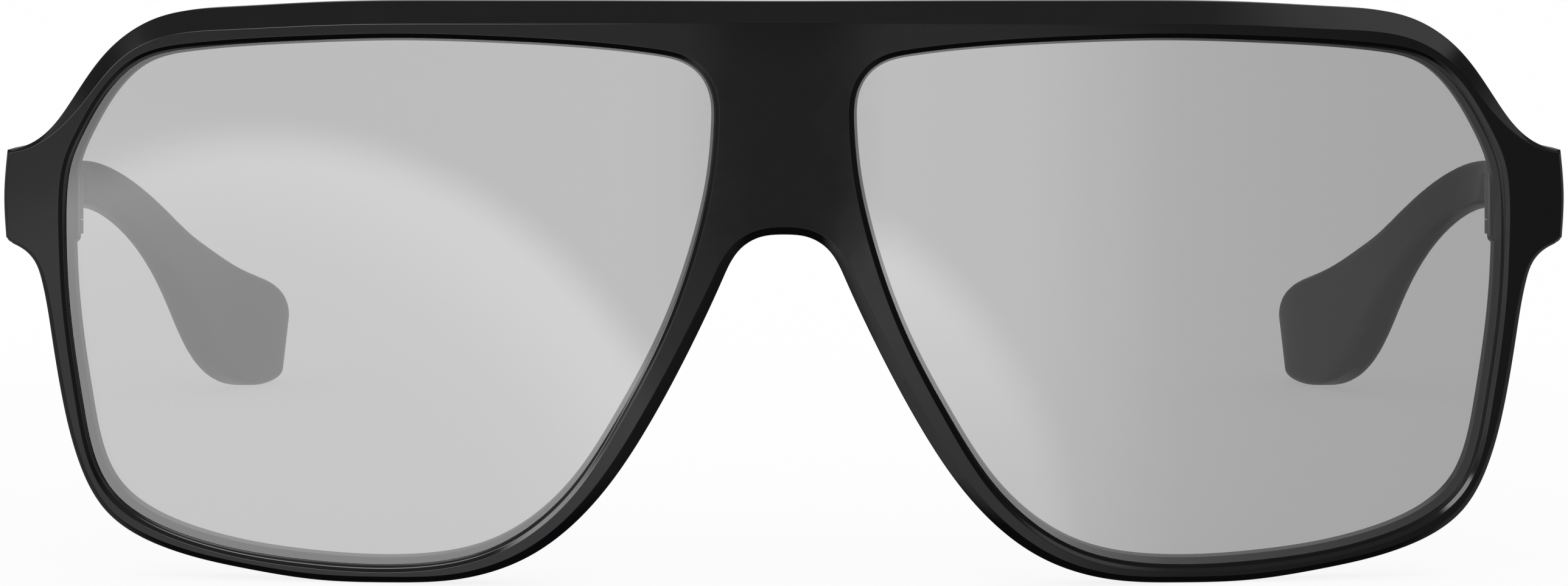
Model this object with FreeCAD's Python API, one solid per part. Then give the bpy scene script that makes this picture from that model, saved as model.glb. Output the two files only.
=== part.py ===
"""Smart glasses: a navigator front with two lenses, and two folding temples that hold the electronics.

The glasses are drawn as they are worn: +Z up, the front faces -Y, the temples run along +Y, and the
wearer's left is +X. Everything is drawn for the wearer's left and mirrored. At the end the whole part is
tilted until the rims and the tails rest on one level surface. Lengths are millimetres.
"""

import FreeCAD, Part

import math
import os

from FreeCAD import Vector

# Front: a shell of even thickness about one centre. Its top leans forward by FRONT_LEAN degrees.
FRONT_RADIUS = 220.0
FRONT_LEAN = 6.0
WALLS_MEET = 2.0  # the front's edges point at a place this many times as far behind as the centre
FRONT_THICKNESS = 4.5
LENS_SETBACK = 0.45
LENS_THICKNESS = 2.0
GROOVE_DEPTH = 0.7
REAR_LIP = 0.3  # how much smaller the opening is behind the lens
LENS_GAP = 0.05

# The front's outline, as (across, up) from the middle of the front.
TOP_EDGE = [
    (0.0, 27.1), (15.0, 27.15), (30.0, 27.2), (43.3, 27.1), (51.8, 26.7), (58.86, 25.61),
    (63.0, 22.8), (66.8, 17.7), (69.25, 14.85), (71.05, 13.85), (73.0, 13.4),
]
ENDPIECE_EDGE = [(73.0, 13.4), (73.33, 9.2), (73.15, 5.2)]
LOWER_EDGE = [
    (72.45, 4.6), (71.3, 4.05), (70.1, 2.85), (69.5, 1.2), (68.55, -3.95), (67.6, -9.65),
    (66.15, -15.3), (63.4, -20.45), (57.85, -23.85), (50.5, -25.8), (43.4, -26.95),
    (37.0, -27.2), (31.0, -26.85), (24.1, -24.85), (18.3, -20.3), (12.6, -12.35),
    (8.1, -3.9), (5.73, 1.2), (4.1, 4.0), (2.24, 5.13), (0.0, 5.37),
]
# The rim's inner edge in front of the lens.
OPENING = [
    (9.3, 21.55), (12.0, 22.25), (17.0, 22.85), (27.6, 23.52), (36.15, 23.75), (44.7, 23.55),
    (55.3, 22.85), (60.15, 21.6), (63.15, 18.8), (65.3, 15.2), (66.55, 12.3), (67.05, 9.0),
    (67.1, 5.0), (66.9, 0.05), (65.5, -10.6), (63.05, -18.15), (55.4, -22.8), (45.25, -24.85),
    (36.15, -25.35), (27.45, -23.9), (20.35, -18.7), (15.6, -11.75), (11.62, -4.25),
    (8.3, 4.94), (7.02, 10.6), (6.55, 15.6), (6.75, 18.5), (7.75, 20.4),
]
# The moulded nose rest stands behind the nasal rim.
NOSE_REST = [
    (9.6, -2.6), (12.1, -7.6), (15.4, -13.4), (16.9, -17.0), (15.3, -16.0), (12.2, -11.0), (9.5, -5.6),
]
NOSE_REST_FROM = 4.9
NOSE_REST_TO = 9.6

# Endpiece block that carries the hinge.
ENDPIECE_INNER = 66.3
ENDPIECE_OUTER = 73.0
ENDPIECE_BOTTOM = 4.75
TEMPLE_TOP = 13.25
ENDPIECE_BACK = 19.0

# Hinge: a five-knuckle barrel about an upright axis.
HINGE_X = 67.6
HINGE_Y = 20.5
BARREL_RADIUS = 1.45
HINGE_BOTTOM = 5.6
HINGE_TOP = 12.4
KNUCKLES = 5
KNUCKLE_GAP = 0.05
LEAF_THICKNESS = 1.0
FRONT_LEAF_START = 15.2
TEMPLE_LEAF_END = 27.5
PIN_RADIUS = 0.7
PIN_CLEARANCE = 0.04
PIN_HEAD_RADIUS = 1.1
PIN_HEAD_HEIGHT = 0.5

# Temple: stations from root to tail as (across, back, up, height, thickness).
TEMPLE_ROOT = 19.1
TEMPLE_STATIONS = [
    (69.80, 16.0, 8.92, 8.66, 6.40), (69.87, 30.0, 9.21, 8.08, 6.25), (69.99, 46.0, 9.52, 7.46, 6.02),
    (70.12, 62.0, 9.83, 6.84, 5.75), (70.10, 78.0, 10.14, 6.22, 5.15), (69.88, 92.0, 10.41, 5.68, 4.30),
    (69.55, 104.0, 10.64, 5.22, 3.35), (68.80, 113.0, 10.80, 4.85, 2.75), (66.85, 120.5, 10.75, 4.65, 2.60),
    (63.40, 128.0, 8.65, 4.80, 2.60), (59.95, 135.0, 4.80, 5.80, 2.90), (57.20, 141.5, 1.00, 8.30, 3.60),
    (53.90, 148.0, -2.90, 11.20, 4.20), (50.20, 154.0, -4.30, 10.20, 4.00), (48.80, 156.8, -5.10, 7.40, 2.50),
]
TEMPLE_CORNER = 0.38  # corner radius as a share of the thickness
SPLAY = 1.5  # degrees that an open temple stands outwards

# Lines that the temple's inner face and bottom edge follow over the electronics bay.
INNER_FACE = (66.6, 0.0164)
BOTTOM_EDGE = (4.75, 0.0387)
LINES_FROM = 19.0

# Electronics bay and its cover.
COVER_FROM = 28.6
COVER_TO = 99.4
COVER_MARGIN = 0.8
COVER_THICKNESS = 0.9
COVER_GAP = 0.04
BAY_FROM = 31.4
BAY_TO = 96.6
BAY_WALL = 1.15
BAY_OUTER = [(31.4, 72.0), (70.0, 71.95), (88.0, 71.25), (96.6, 70.7)]

# Contents of the bay, as (across, back, up) from one corner to the other.
BATTERY = ((68.4, 38.5, 8.12), (71.1, 70.0, 12.0))
CIRCUIT_BOARD = ((71.15, 33.0, 7.95), (71.75, 70.2, 12.05))
TOUCH_SENSOR = ((71.77, 38.0, 8.2), (71.9, 69.0, 11.9))
SPEAKER = ((68.65, 72.0, 8.55), (71.2, 84.0, 12.0))
MICROPHONE = ((68.8, 34.0, 6.66), (71.0, 37.5, 7.7))
TACT_SWITCH = ((68.9, 43.6, 7.7), (71.1, 48.4, 8.08))
MESH = (73.5, 82.5, 9.2, 11.4)
MESH_RECESS = 0.2
MESH_THICKNESS = 0.3
MESH_LEDGE = 0.4
MESH_HOLE_RADIUS = 0.28
MESH_COLUMNS = 9
CONTACT_PLACES = (32.9, 36.1)
CONTACT_RADIUS = 0.75
CONTACT_HEIGHT = 9.4
CONTACT_LENGTH = 1.5
CONTACT_PROUD = 0.12
LIGHT_PIPE_PLACE = (40.8, 10.9)
LIGHT_PIPE_RADIUS = 0.5
LIGHT_PIPE_LENGTH = 1.0
LIGHT_PIPE_PROUD = 0.07
SCREW_PLACES = ((30.0, 9.2), (98.0, 10.5))
SCREW_RADIUS = 0.5
SCREW_LENGTH = 2.6
SCREW_HEAD_RADIUS = 0.85
SCREW_HEAD_HEIGHT = 0.35
SCREW_SUNK = 0.1
HOLE_REACH = 1.0  # how far the cover's holes run out past its face

# Button in the bottom wall.
BUTTON_FROM = 42.0
BUTTON_TO = 50.0
BUTTON_WIDTH = 2.4
BUTTON_GAP = 0.08
BUTTON_BOTTOM = 5.42
BUTTON_FLANGE = (7.14, 7.42)
BUTTON_LIP = 0.35
BUTTON_TRAVEL = 0.25

# Core wire in the tail.
WIRE_STATIONS = slice(6, 13)
WIRE_HEIGHT = 1.7
WIRE_THICKNESS = 0.9

LEAN = math.radians(FRONT_LEAN)
CONE_FROM, CONE_TO = -6.0, 26.0  # upright planes clear of the front on both sides
CENTRE = Vector(0, FRONT_RADIUS * math.cos(LEAN), FRONT_RADIUS * math.sin(LEAN))
APEX = CENTRE * WALLS_MEET
UP = Vector(0, 0, 1)
ACROSS = Vector(1, 0, 0)


def box(low, high):
    size = Vector(*high) - Vector(*low)
    return Part.makeBox(size.x, size.y, size.z, Vector(*low))


def cylinder(radius, length, start, direction=UP):
    return Part.makeCylinder(radius, length, start, direction)


def prism(points, along):
    face = Part.Face(Part.makePolygon(points + points[:1]))
    return face.extrude(along)


def mirrored_shape(shape):
    return shape.mirror(Vector(0, 0, 0), ACROSS)


# ---- Front -----------------------------------------------------------------------------------------


def on_ray(x, z, plane):
    """The place on an upright plane that lies on the ray from APEX through the front's face at (x, z)."""
    y = CENTRE.y - math.sqrt(FRONT_RADIUS**2 - x * x - (z - CENTRE.z) ** 2)
    share = (APEX.y - plane) / (APEX.y - y)
    return Vector(x * share, plane, APEX.z + (z - APEX.z) * share)


def curve(points, plane, closed=False):
    spline = Part.BSplineCurve()
    spline.interpolate([on_ray(x, z, plane) for x, z in points], PeriodicFlag=closed)
    return spline.toShape()


def both_sides(points):
    """The outline run from the wearer's right, mirrored, to the wearer's left."""
    return [(-x, z) for x, z in reversed(points)] + points[1:]


def outer_wire(plane):
    top = curve(both_sides(TOP_EDGE), plane)
    bottom = curve(both_sides(LOWER_EDGE[::-1])[::-1], plane)
    edges = [top]
    for flip in (1, -1):
        side = [(flip * x, z) for x, z in ENDPIECE_EDGE]
        corner = [side[-1], (flip * LOWER_EDGE[0][0], LOWER_EDGE[0][1])]
        edges.append(curve(side, plane))
        edges.append(Part.makeLine(on_ray(*corner[0], plane), on_ray(*corner[1], plane)))
    edges.append(bottom)
    return Part.Wire(Part.__sortEdges__(edges))


def cone(near, far):
    return Part.makeLoft([near, far], True, True)


def outline_cone():
    """The front's outline as a solid whose walls point at APEX."""
    return cone(outer_wire(CONE_FROM), outer_wire(CONE_TO))


def opening_cone(grow):
    """The lens opening, grown by this much all round, as a solid whose walls point at APEX."""
    near = Part.Wire([curve(OPENING, CONE_FROM, closed=True)])
    if grow:
        near = near.makeOffset2D(grow)
    shrink = (APEX.y - CONE_TO) / (APEX.y - CONE_FROM)
    scale = FreeCAD.Matrix()
    scale.move(-APEX)
    scale.scale(shrink, shrink, shrink)
    scale.move(APEX)
    return cone(near, near.transformGeometry(scale))


def shell(outer_depth, inner_depth):
    """The layer of the front between two depths behind its face."""
    outer = Part.makeSphere(FRONT_RADIUS - outer_depth, CENTRE)
    inner = Part.makeSphere(FRONT_RADIUS - inner_depth, CENTRE)
    return outer.cut(inner)


def endpiece_block():
    block = box((ENDPIECE_INNER, 0, ENDPIECE_BOTTOM), (ENDPIECE_OUTER, ENDPIECE_BACK, TEMPLE_TOP))
    return block.common(Part.makeSphere(FRONT_RADIUS - 0.3, CENTRE))


def nose_rest():
    wires = []
    middle_x = sum(x for x, _ in NOSE_REST) / len(NOSE_REST)
    middle_z = sum(z for _, z in NOSE_REST) / len(NOSE_REST)
    span = NOSE_REST_TO - NOSE_REST_FROM
    for share, size in ((0.0, 1.0), (0.45, 0.97), (0.8, 0.8), (1.0, 0.5)):
        plane = NOSE_REST_FROM + share * span
        spline = Part.BSplineCurve()
        points = [
            Vector(middle_x + (x - middle_x) * size, plane, middle_z + (z - middle_z) * size)
            for x, z in NOSE_REST
        ]
        spline.interpolate(points, PeriodicFlag=True)
        wires.append(Part.Wire([spline.toShape()]))
    return Part.makeLoft(wires, True, False)


def front_frame(leaf, screw):
    frame = outline_cone().common(shell(0.0, FRONT_THICKNESS))
    blocks = [endpiece_block(), nose_rest()]
    frame = frame.multiFuse(blocks + [mirrored_shape(b) for b in blocks])
    groove_front = LENS_SETBACK - LENS_GAP
    groove_back = LENS_SETBACK + LENS_THICKNESS + LENS_GAP
    before = opening_cone(0.0).common(shell(-2.0, groove_front + 0.1))
    groove = opening_cone(GROOVE_DEPTH + LENS_GAP).common(shell(groove_front, groove_back))
    behind = opening_cone(-REAR_LIP).common(shell(groove_back - 0.1, 12.0))
    for tool in (before, groove, behind, leaf, screw):
        frame = frame.cut(tool).cut(mirrored_shape(tool))
    return frame.removeSplitter()


def lens():
    return opening_cone(GROOVE_DEPTH).common(
        shell(LENS_SETBACK, LENS_SETBACK + LENS_THICKNESS)
    )


# ---- Hinge -----------------------------------------------------------------------------------------


def knuckle_bands():
    pitch = (HINGE_TOP - HINGE_BOTTOM + KNUCKLE_GAP) / KNUCKLES
    return [(HINGE_BOTTOM + i * pitch, HINGE_BOTTOM + (i + 1) * pitch - KNUCKLE_GAP) for i in range(KNUCKLES)]


def hinge_leaf(bands, plate_from, plate_to):
    """A leaf's plate, let into its part, and the knuckles that it carries on these bands."""
    left = HINGE_X - LEAF_THICKNESS / 2
    right = HINGE_X + LEAF_THICKNESS / 2
    pieces = [box((left, plate_from, HINGE_BOTTOM), (right, plate_to, HINGE_TOP))]
    reach = (min(plate_from, HINGE_Y), max(plate_to, HINGE_Y))
    for low, high in bands:
        pieces.append(cylinder(BARREL_RADIUS, high - low, Vector(HINGE_X, HINGE_Y, low)))
        pieces.append(box((left, reach[0], low), (right, reach[1], high)))
    leaf = pieces[0].multiFuse(pieces[1:])
    bore = cylinder(PIN_RADIUS + PIN_CLEARANCE, HINGE_TOP, Vector(HINGE_X, HINGE_Y, 0))
    return leaf.cut(bore.fuse(pin_head(PIN_CLEARANCE))).removeSplitter()


def pin_head(grow=0.0):
    foot = HINGE_TOP - PIN_HEAD_HEIGHT
    return cylinder(PIN_HEAD_RADIUS + grow, PIN_HEAD_HEIGHT + 1, Vector(HINGE_X, HINGE_Y, foot))


def hinge_screw():
    """The hinge pin: it passes all five knuckles, with its slotted head sunk in the top one."""
    pin = cylinder(PIN_RADIUS, HINGE_TOP - HINGE_BOTTOM - 0.1, Vector(HINGE_X, HINGE_Y, HINGE_BOTTOM))
    foot = HINGE_TOP - PIN_HEAD_HEIGHT
    head = cylinder(PIN_HEAD_RADIUS, PIN_HEAD_HEIGHT - 0.05, Vector(HINGE_X, HINGE_Y, foot))
    slot = box((HINGE_X - 2, HINGE_Y - 0.15, HINGE_TOP - 0.25), (HINGE_X + 2, HINGE_Y + 0.15, HINGE_TOP))
    return pin.fuse(head).cut(slot).removeSplitter()


# ---- Temple ----------------------------------------------------------------------------------------


def rounded_section(centre, along, height, thickness, corner):
    """A rounded rectangle square to the temple's run."""
    up = (UP - along * UP.dot(along)).normalize()
    side = along.cross(up)
    h, w = height / 2, thickness / 2
    r = corner
    bulge = r * (1 - math.sqrt(0.5))

    def at(u, v):
        return centre + side * u + up * v

    edges = []
    for su, sv in ((1, 1), (-1, 1), (-1, -1), (1, -1)):
        first, last = at(su * w, sv * (h - r)), at(su * (w - r), sv * h)
        middle = at(su * (w - bulge), sv * (h - bulge))
        if su * sv < 0:
            first, last = last, first
        if edges:
            edges.append(Part.makeLine(edges[-1].Vertexes[-1].Point, first))
        edges.append(Part.Arc(first, middle, last).toShape())
    edges.append(Part.makeLine(edges[-1].Vertexes[-1].Point, edges[0].Vertexes[0].Point))
    return Part.Wire(edges)


def station_sections(stations, height=None, thickness=None):
    centres = [Vector(*s[:3]) for s in TEMPLE_STATIONS]
    wires = []
    for i in range(len(centres))[stations]:
        before, after = centres[max(i - 1, 0)], centres[min(i + 1, len(centres) - 1)]
        along = (after - before).normalize() if i else Vector(0, 1, 0)
        tall = height or TEMPLE_STATIONS[i][3]
        thick = thickness or TEMPLE_STATIONS[i][4]
        wires.append(rounded_section(centres[i], along, tall, thick, TEMPLE_CORNER * min(thick, 3.4)))
    return wires


def temple_body():
    return Part.makeLoft(station_sections(slice(None)), True, False)


def core_wire():
    return Part.makeLoft(station_sections(WIRE_STATIONS, WIRE_HEIGHT, WIRE_THICKNESS), True, False)


def inner_x(y):
    return INNER_FACE[0] + INNER_FACE[1] * (y - LINES_FROM)


def bottom_z(y):
    return BOTTOM_EDGE[0] + BOTTOM_EDGE[1] * (y - LINES_FROM)


def side_window(start, end, margin):
    """A prism across the temple, inside its side view by margin."""
    corners = [(start, bottom_z(start) + margin), (end, bottom_z(end) + margin)]
    corners += [(end, TEMPLE_TOP - margin), (start, TEMPLE_TOP - margin)]
    return prism([Vector(60, y, z) for y, z in corners], Vector(20, 0, 0))


def inner_layer(start, end, first, last):
    """The layer between two depths behind the temple's inner face."""
    corners = [(inner_x(y) + d, y) for y, d in ((start, first), (end, first), (end, last), (start, last))]
    return prism([Vector(x, y, 0) for x, y in corners], Vector(0, 0, 20))


def bay():
    corners = [(inner_x(y) + COVER_THICKNESS - 0.01, y) for y in (BAY_TO, BAY_FROM)]
    corners += [(x, y) for y, x in BAY_OUTER]
    space = prism([Vector(x, y, 0) for x, y in corners], Vector(0, 0, 20))
    return space.common(side_window(BAY_FROM, BAY_TO, BAY_WALL))


def mesh_window(inset=0.0):
    start, end, low, high = MESH
    return box((60, start + inset, low + inset), (75, end - inset, high - inset))


def speaker_mesh():
    start, end, low, high = MESH
    layer = inner_layer(start - 1, end + 1, MESH_RECESS, MESH_RECESS + MESH_THICKNESS)
    plate = layer.common(mesh_window())
    pitch = (end - start) / (MESH_COLUMNS + 1)
    holes = [
        cylinder(MESH_HOLE_RADIUS, 20, Vector(60, start + (i + 1) * pitch, height), ACROSS)
        for i in range(MESH_COLUMNS)
        for height in (low + 0.75, high - 0.75)
    ]
    return plate.cut(holes[0].multiFuse(holes[1:]))


def cover_cuts():
    """What goes through the cover: the mesh's window and seat, and the holes for contacts, light and screws."""
    seat = mesh_window().common(inner_layer(MESH[0] - 1, MESH[1] + 1, -2, MESH_RECESS + MESH_THICKNESS))
    holes = [charging_contacts(HOLE_REACH), light_pipe(HOLE_REACH), cover_screws(HOLE_REACH)]
    return [seat, mesh_window(MESH_LEDGE)] + holes


def temple_cover(body):
    layer = inner_layer(COVER_FROM, COVER_TO, -2, COVER_THICKNESS - COVER_GAP)
    cover = body.common(layer).common(side_window(COVER_FROM + COVER_GAP, COVER_TO - COVER_GAP,
                                                  COVER_MARGIN + COVER_GAP))
    for cut in cover_cuts():
        cover = cover.cut(cut)
    return cover.removeSplitter()


def inward_rod(radius, length, y, z, sunk, reach):
    """A rod square to the wearer's side: its end is sunk this far under the inner face, less reach."""
    return cylinder(radius, length + reach, Vector(inner_x(y) + sunk - reach, y, z), ACROSS)


def charging_contacts(reach=0.0):
    rods = [
        inward_rod(CONTACT_RADIUS, CONTACT_LENGTH, y, CONTACT_HEIGHT, -CONTACT_PROUD, reach)
        for y in CONTACT_PLACES
    ]
    return Part.makeCompound(rods)


def light_pipe(reach=0.0):
    return inward_rod(LIGHT_PIPE_RADIUS, LIGHT_PIPE_LENGTH, *LIGHT_PIPE_PLACE, -LIGHT_PIPE_PROUD, reach)


def cover_screws(reach=0.0):
    screws = []
    for y, z in SCREW_PLACES:
        shank = inward_rod(SCREW_RADIUS, SCREW_LENGTH, y, z, SCREW_SUNK, 0.0)
        head = inward_rod(SCREW_HEAD_RADIUS, SCREW_HEAD_HEIGHT, y, z, SCREW_SUNK, reach)
        screws.append(shank.fuse(head).removeSplitter())
    return Part.makeCompound(screws)


def stadium(grow, low, high):
    """An upright rod of the button's outline."""
    middle = (BATTERY[0][0] + BATTERY[1][0]) / 2
    radius = BUTTON_WIDTH / 2
    first, last = BUTTON_FROM + radius, BUTTON_TO - radius
    rod = box((middle - radius - grow, first, low), (middle + radius + grow, last, high))
    ends = [cylinder(radius + grow, high - low, Vector(middle, y, low)) for y in (first, last)]
    return rod.multiFuse(ends).removeSplitter()


def button():
    key = stadium(0.0, BUTTON_BOTTOM, BUTTON_FLANGE[1])
    key = key.makeFillet(0.3, [e for e in key.Edges if abs(e.BoundBox.ZMax - BUTTON_BOTTOM) < 0.01])
    return key.fuse(stadium(BUTTON_LIP, *BUTTON_FLANGE)).removeSplitter()


def temple_shell(body, leaf):
    notch = box((60, 10, 0), (HINGE_X + BARREL_RADIUS + 0.1, HINGE_Y + BARREL_RADIUS + 0.35, 20))
    cover_seat = side_window(COVER_FROM, COVER_TO, COVER_MARGIN).common(
        inner_layer(COVER_FROM, COVER_TO, -2, COVER_THICKNESS)
    )
    port_y = (MICROPHONE[0][1] + MICROPHONE[1][1]) / 2
    port_x = (MICROPHONE[0][0] + MICROPHONE[1][0]) / 2
    port = cylinder(0.4, 4, Vector(port_x, port_y, 3.5))
    slot = stadium(BUTTON_GAP, 3, BUTTON_FLANGE[0] + 0.2)
    result = body
    for cut in (notch, leaf, cover_seat, bay(), cover_screws(), core_wire(), port, slot):
        result = result.cut(cut)
    return result


def splayed(shape):
    turned = shape.copy()
    turned.rotate(Vector(HINGE_X, HINGE_Y, 0), UP, -SPLAY)
    return turned


# ---- Assembly --------------------------------------------------------------------------------------


def worn_parts():
    """Every node's shape, with the glasses as they are worn."""
    bands = knuckle_bands()
    front_leaf = hinge_leaf(bands[0::2], FRONT_LEAF_START, ENDPIECE_BACK)
    temple_leaf = hinge_leaf(bands[1::2], HINGE_Y + BARREL_RADIUS + 0.2, TEMPLE_LEAF_END)
    screw = hinge_screw()
    body = temple_body()
    in_front = box((40, 0, -10), (90, TEMPLE_ROOT, 30))
    drawn = {
        "lens": lens(),
        "hinge_front_leaf": front_leaf,
        "hinge_screw": screw,
        "temple_shell": splayed(temple_shell(body, temple_leaf)).cut(in_front),
        "hinge_temple_leaf": splayed(temple_leaf),
        "temple_cover": splayed(temple_cover(body)),
        "cover_screws": splayed(cover_screws()),
        "core_wire": splayed(core_wire()),
        "battery": splayed(box(*BATTERY)),
        "circuit_board": splayed(box(*CIRCUIT_BOARD)),
        "touch_sensor": splayed(box(*TOUCH_SENSOR)),
        "speaker": splayed(box(*SPEAKER)),
        "speaker_mesh": splayed(speaker_mesh()),
        "microphone": splayed(box(*MICROPHONE)),
        "tact_switch": splayed(box(*TACT_SWITCH)),
        "charging_contacts": splayed(charging_contacts()),
        "light_pipe": splayed(light_pipe()),
        "button": splayed(button()),
    }
    parts = {"front_frame": front_frame(front_leaf, screw)}
    for name, shape in drawn.items():
        parts["left_" + name] = shape
        parts["right_" + name] = mirrored_shape(shape)
    return parts


def lowest(shape):
    points, _ = shape.tessellate(0.05)
    return min(points, key=lambda p: p.z)


def resting_placement(parts):
    """Tilts the glasses until rims and tails touch one level, then moves the middle of their box onto it."""
    angle = 0.0
    for _ in range(12):
        turn = FreeCAD.Rotation(ACROSS, angle)
        front, tail = (parts[n].copy() for n in ("front_frame", "left_temple_shell"))
        for shape in (front, tail):
            shape.Placement = FreeCAD.Placement(Vector(), turn)
        rim, tip = lowest(front), lowest(tail)
        angle -= math.degrees(math.atan2(tip.z - rim.z, tip.y - rim.y))
    turn = FreeCAD.Placement(Vector(), FreeCAD.Rotation(ACROSS, angle))
    points = []
    for name in ("front_frame", "left_temple_shell", "right_temple_shell"):
        found, _ = parts[name].tessellate(0.05)
        points += [turn.multVec(p) for p in found]
    near, far = min(p.y for p in points), max(p.y for p in points)
    base = min(p.z for p in points)
    return FreeCAD.Placement(Vector(0, -(near + far) / 2, -base), turn.Rotation), angle


def main():
    os.makedirs("parts", exist_ok=True)
    parts = worn_parts()
    placement, angle = resting_placement(parts)
    for name, shape in parts.items():
        placed = shape.copy()
        placed.Placement = placement.multiply(placed.Placement)
        if len(placed.Solids) == 1:
            placed = placed.Solids[0]
        placed.exportStep(f"parts/{name}.step")
        print(name, len(placed.Solids), round(placed.Volume, 2), placed.isValid())
    print("tilt", round(angle, 3), "moved", placement.Base)


if __name__ == "__main__":
    main()
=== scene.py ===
"""Smart glasses: glossy black moulded front, two flash-coated lenses, folding temples with electronics.

The packed CAD model gives every place. The front and the lenses are made again as finer meshes with
moulded edges, and every other node keeps its CAD shape and gets a finish.
Shapes are drawn as the glasses are worn, in millimetres, and `placed` puts them into the model's frame.
"""

import math

import bmesh
import bpy
import numpy as np
from bpy.props import FloatProperty, FloatVectorProperty, PointerProperty
from mathutils import Matrix, Vector
from mathutils.geometry import delaunay_2d_cdt


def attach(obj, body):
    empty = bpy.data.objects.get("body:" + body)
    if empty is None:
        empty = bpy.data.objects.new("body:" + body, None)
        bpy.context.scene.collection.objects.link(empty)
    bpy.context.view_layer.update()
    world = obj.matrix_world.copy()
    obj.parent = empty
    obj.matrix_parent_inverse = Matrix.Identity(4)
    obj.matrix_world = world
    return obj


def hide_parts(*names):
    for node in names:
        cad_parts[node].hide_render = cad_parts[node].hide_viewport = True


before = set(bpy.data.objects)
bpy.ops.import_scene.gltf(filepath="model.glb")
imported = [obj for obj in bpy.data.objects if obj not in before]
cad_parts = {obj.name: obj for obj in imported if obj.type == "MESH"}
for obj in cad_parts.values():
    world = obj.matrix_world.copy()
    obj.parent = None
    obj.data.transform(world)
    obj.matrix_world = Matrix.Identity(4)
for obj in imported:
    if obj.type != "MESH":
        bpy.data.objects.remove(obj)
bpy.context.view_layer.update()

bl_info = {
    "name": "Smart Glasses",
    "version": (1, 0, 0),
    "blender": (4, 5, 0),
    "location": "View3D > Sidebar > Smart Glasses",
    "description": "Builds a pair of smart glasses around its packed CAD model",
    "category": "Object",
}

MM = 0.001
SIDES = (("left", 1), ("right", -1))
STEEL_NODES = ("hinge_front_leaf", "hinge_temple_leaf", "hinge_screw", "cover_screws", "core_wire")

# Where the worn glasses stand in the model's frame: leaning on rims and tails.
RESTING_TILT = -7.008
RESTING_PLACE = (0.0, -78.5566, 27.9853)

# Front: a shell of even thickness about one centre, its edges pointing at a place twice as far behind.
FRONT_RADIUS = 220.0
FRONT_LEAN = math.radians(6.0)
FRONT_THICKNESS = 4.5
LENS_SETBACK = 0.45
LENS_THICKNESS = 2.0
GROOVE_DEPTH = 0.7
LENS_GAP = 0.05
REAR_LIP = 0.3
CENTRE = Vector((0, FRONT_RADIUS * math.cos(FRONT_LEAN), FRONT_RADIUS * math.sin(FRONT_LEAN)))
APEX = CENTRE * 2

# Outline points as (across, up, width of the edge's chamfer).
TOP_EDGE = [
    (0.0, 27.1, 2.0), (15.0, 27.15, 2.1), (30.0, 27.2, 2.15), (43.3, 27.1, 2.15),
    (51.8, 26.7, 2.1), (59.1, 25.62, 1.9), (63.35, 22.8, 1.5), (67.1, 17.75, 1.05),
    (69.5, 14.85, 0.5), (71.15, 13.85, 0.35), (73.0, 13.4, 0.3),
]
ENDPIECE_EDGE = [(73.0, 13.4, 0.3), (73.33, 9.2, 0.35), (73.15, 5.2, 0.3)]
LOWER_EDGE = [
    (72.5, 4.6, 0.3), (71.5, 4.05, 0.35), (70.4, 2.85, 0.4), (69.8, 1.2, 0.45), (68.88, -3.95, 0.5),
    (67.95, -9.65, 0.5), (66.55, -15.35, 0.5), (63.8, -20.55, 0.55), (57.9, -24.1, 0.6),
    (50.5, -25.95, 0.6), (43.4, -27.0, 0.65), (37.0, -27.2, 0.65), (31.0, -26.95, 0.65),
    (24.1, -24.85, 0.8), (18.3, -20.3, 0.95), (12.6, -12.35, 1.05), (8.1, -3.9, 1.0),
    (5.73, 1.2, 0.9), (4.1, 4.0, 0.8), (2.24, 5.13, 0.75), (0.0, 5.37, 0.75),
]
# Opening points as (across, up, width of the ledge in front of the lens).
OPENING = [
    (9.3, 21.55, 0.15), (12.0, 22.25, 0.12), (17.0, 22.85, 0.1), (27.6, 23.52, 0.1),
    (36.15, 23.75, 0.1), (44.7, 23.55, 0.12), (55.4, 22.85, 0.18), (60.35, 21.6, 0.25),
    (63.4, 18.8, 0.28), (65.6, 15.2, 0.3), (66.85, 12.3, 0.35), (67.35, 9.0, 0.35),
    (67.4, 5.0, 0.3), (67.2, 0.05, 0.28), (65.85, -10.6, 0.28), (63.4, -18.25, 0.3),
    (55.5, -23.0, 0.32), (45.25, -25.0, 0.35), (36.15, -25.45, 0.35), (27.45, -23.9, 0.32),
    (20.35, -18.7, 0.3), (15.6, -11.75, 0.2), (11.62, -4.25, 0.15), (8.3, 4.94, 0.15),
    (7.02, 10.6, 0.15), (6.55, 15.6, 0.15), (6.75, 18.5, 0.15), (7.75, 20.4, 0.15),
]
NOSE_REST = [
    (9.6, -2.6), (12.1, -7.6), (15.4, -13.4), (16.9, -17.0), (15.3, -16.0), (12.2, -11.0), (9.5, -5.6),
]
NOSE_REST_FROM = 4.6
NOSE_REST_TO = 9.6
OUTLINE_STEP = 0.45
GRID_STEP = 1.7
LENS_GRID_STEP = 2.5

# Endpiece blocks behind the front's corners.
BLOCK_LOW = (66.3, 12.3, 4.75)
BLOCK_HIGH = (73.0, 19.0, 13.25)

# Edge profiles of the front. A margin is the flat strip between an edge and the mesh of the face.
CHAMFER_LEAST_DEPTH = 0.4
CHAMFER_SLOPE = 0.22
REAR_CHAMFER = 0.35
LIP_CHAMFER = 0.3
FACE_MARGIN = 0.06
REAR_MARGIN = 0.15
LEDGE_START = 0.12
LEDGE_END = 0.04
OPENING_RIDGE_SHARE = 0.7

# How fast a nose rest narrows and rises over its rings.
NOSE_REST_RINGS = 11
NOSE_REST_NARROWING = 0.6
NOSE_REST_RISE = 1.2

# What the anti-reflection inside of a lens still reflects straight on.
INSIDE_MIRROR = 0.028

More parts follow.
